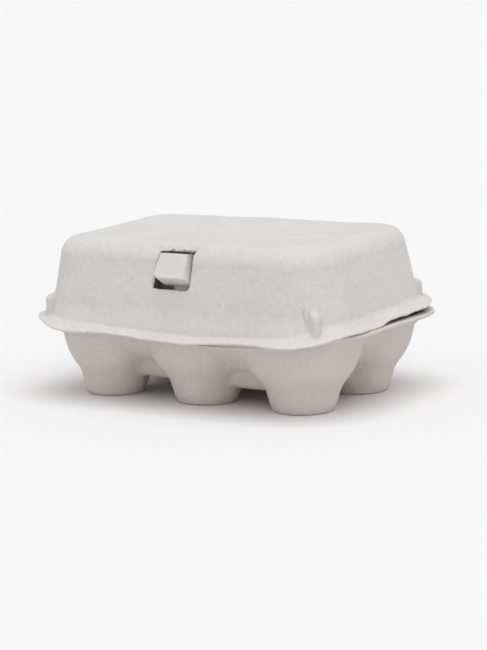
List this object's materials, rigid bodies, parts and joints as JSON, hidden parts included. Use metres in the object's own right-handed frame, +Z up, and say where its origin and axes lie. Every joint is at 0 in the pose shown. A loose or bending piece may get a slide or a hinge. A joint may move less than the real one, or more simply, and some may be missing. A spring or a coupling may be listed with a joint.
{
  "type": "egg carton",
  "caption": "Small moulded pulp egg carton with round-footed cups, a hinged lid and a lock flap whose button sits in a window.",
  "frame": {"origin": "on the surface that the feet stand on, under the middle of the carton's outline", "axes": "+X along the row of three cups, to the right seen from the front; -Y is the front, with the lock window; +Z up"},
  "size_m": [0.1588, 0.115, 0.0722],
  "materials": {
    "tray_pulp": "matte moulded pulp, fine fibres",
    "lid_pulp": "matte moulded pulp, fine fibres and small pits",
    "flap_pulp": "matte moulded pulp, smoother where fingers press it"
  },
  "bodies": {
    "tray": {"cup_front_left": "tray_pulp", "cup_front_middle": "tray_pulp", "cup_front_right": "tray_pulp", "cup_rear_left": "tray_pulp", "cup_rear_middle": "tray_pulp", "cup_rear_right": "tray_pulp", "divider_post_left": "tray_pulp", "divider_post_right": "tray_pulp", "tray_rim": "tray_pulp", "lid_fold": "tray_pulp", "flap_crease": "tray_pulp"},
    "lid": {"lid_shell": "lid_pulp"},
    "lock_flap": {"flap_panel": "flap_pulp", "lock_button": "flap_pulp"}
  },
  "joints": [
    {"name": "lid_hinge", "type": "hinge", "parent": "tray", "child": "lid", "pos_m": [0, 0.0562, 0.0361], "axis": [-1, 0, 0], "range_deg": [0, 180], "deforming": ["lid_fold", "lock_button"]},
    {"name": "flap_press", "type": "hinge", "parent": "tray", "child": "lock_flap", "pos_m": [0, -0.0462, 0.0366], "axis": [-1, 0, 0], "range_deg": [0, 18], "stiffness_Nm_per_rad": 0.05}
  ]
}
